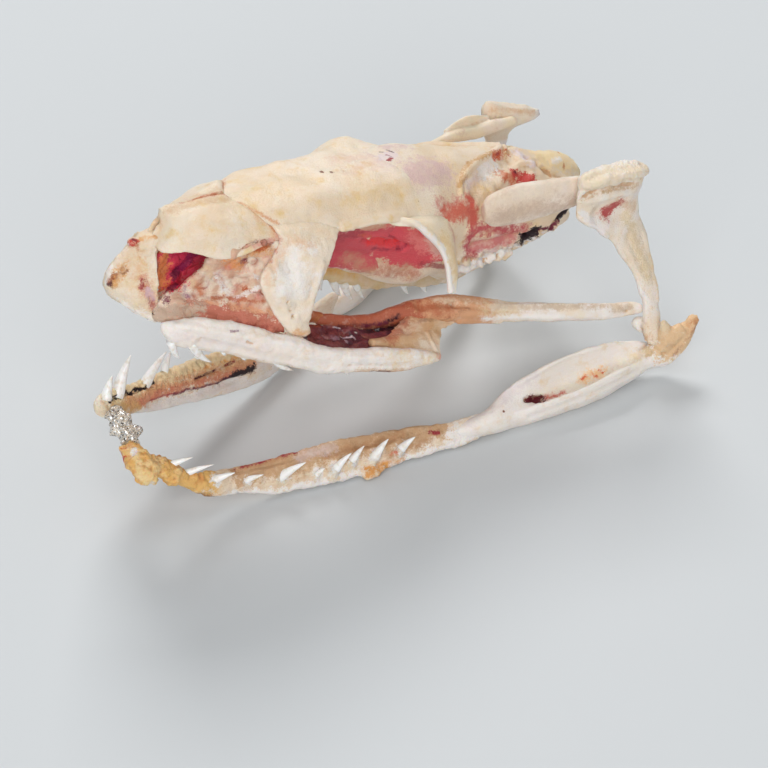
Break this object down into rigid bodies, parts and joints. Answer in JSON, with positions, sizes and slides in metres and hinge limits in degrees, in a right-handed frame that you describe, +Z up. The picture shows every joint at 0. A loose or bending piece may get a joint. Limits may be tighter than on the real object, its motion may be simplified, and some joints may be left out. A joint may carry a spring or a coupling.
{
  "type": "snake skull",
  "caption": "Dried and prepared skull of a snake with open, tooth-lined jaws; the loose lower jaw lies splayed and carries the skull.",
  "frame": {"origin": "centre of the whole skull's box on the surface that the lower jaw lies on", "axes": "+X from the snout to the back of the jaws, +Y to the animal's right, +Z up"},
  "size_m": [0.0732, 0.041, 0.0384],
  "materials": {
    "braincase": "dry bone, ivory to faint lilac, stained crimson and rust at the sides and rear",
    "chin_ligament": "dried ligament, orange and translucent looking",
    "compound_bone_left": "smooth dry bone, near white, orange stain in its hollow",
    "compound_bone_right": "smooth dry bone, near white, orange stain in its hollow",
    "dentary_left": "dry bone, ivory with rust stained groove, white teeth",
    "dentary_right": "dry bone, ivory with rust stained groove, white teeth",
    "ectopterygoid_left": "dry bone, tan",
    "ectopterygoid_right": "dry bone, tan",
    "frontal_left": "dry bone, ivory, with a crimson stained inner wall",
    "frontal_right": "dry bone, ivory, with a crimson stained inner wall",
    "glue_lump": "clear glue full of silvery glitter",
    "maxilla_left": "dry bone with a faint shine, white teeth",
    "maxilla_right": "dry bone with a faint shine, white teeth",
    "nasal_left": "smooth dry bone, cream",
    "nasal_right": "smooth dry bone, cream",
    "palatine_left": "dry bone, yellowish, white teeth",
    "palatine_right": "dry bone, yellowish, white teeth",
    "postorbital_left": "dry bone, near white",
    "postorbital_right": "dry bone, near white",
    "prefrontal_left": "dry bone, near white",
    "prefrontal_right": "dry bone, near white",
    "premaxilla": "dry bone with a faint shine, stained orange in its pits",
    "pterygoid_left": "dry bone, ivory rod and orange brown plate",
    "pterygoid_right": "dry bone, ivory rod and orange brown plate",
    "quadrate_left": "dry bone, ivory, granular head",
    "quadrate_right": "dry bone, ivory, granular head",
    "supratemporal_left": "dry bone, ivory",
    "supratemporal_right": "dry bone, ivory",
    "vomer_left": "thin bone with crumpled dried tissue, white, orange and maroon",
    "vomer_right": "thin bone with crumpled dried tissue, white, orange and maroon"
  },
  "bodies": {
    "root": {"braincase": "braincase", "chin_ligament": "chin_ligament", "compound_bone_left": "compound_bone_left", "compound_bone_right": "compound_bone_right", "dentary_left": "dentary_left", "dentary_right": "dentary_right", "ectopterygoid_left": "ectopterygoid_left", "ectopterygoid_right": "ectopterygoid_right", "frontal_left": "frontal_left", "frontal_right": "frontal_right", "glue_lump": "glue_lump", "maxilla_left": "maxilla_left", "maxilla_right": "maxilla_right", "nasal_left": "nasal_left", "nasal_right": "nasal_right", "palatine_left": "palatine_left", "palatine_right": "palatine_right", "postorbital_left": "postorbital_left", "postorbital_right": "postorbital_right", "prefrontal_left": "prefrontal_left", "prefrontal_right": "prefrontal_right", "premaxilla": "premaxilla", "pterygoid_left": "pterygoid_left", "pterygoid_right": "pterygoid_right", "quadrate_left": "quadrate_left", "quadrate_right": "quadrate_right", "supratemporal_left": "supratemporal_left", "supratemporal_right": "supratemporal_right", "vomer_left": "vomer_left", "vomer_right": "vomer_right"}
  },
  "joints": []
}
